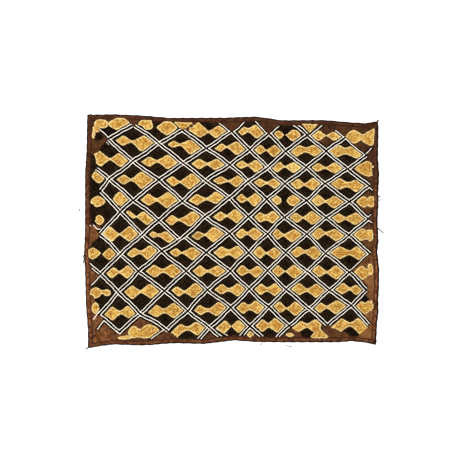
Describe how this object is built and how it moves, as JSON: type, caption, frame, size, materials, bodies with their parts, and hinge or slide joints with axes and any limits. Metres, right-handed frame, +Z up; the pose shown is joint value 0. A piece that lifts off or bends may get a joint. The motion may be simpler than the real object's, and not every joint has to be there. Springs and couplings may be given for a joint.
{
  "type": "kuba raffia cloth",
  "caption": "Flat raffia panel with a narrow turned hem, diamond blocks of cut pile and low stitched bands between them; lies flat as a mat or hanging.",
  "frame": {"origin": "on the underside, at the middle of the cloth, where it rests on the surface", "axes": "+X along the longer side, +Y along the shorter side towards the edge shown at the top, +Z up off the surface on the pile side"},
  "size_m": [0.6099, 0.4839, 0.003],
  "materials": {
    "raffia_ground": "matte plain-woven raffia, dyed brown",
    "ochre_pile": "matte cut pile, ochre raffia",
    "black_pile": "matte cut pile, black raffia",
    "pale_thread": "satin pale raffia thread",
    "dark_thread": "satin dark raffia thread"
  },
  "bodies": {
    "root": {"cloth": "raffia_ground"}
  },
  "joints": []
}
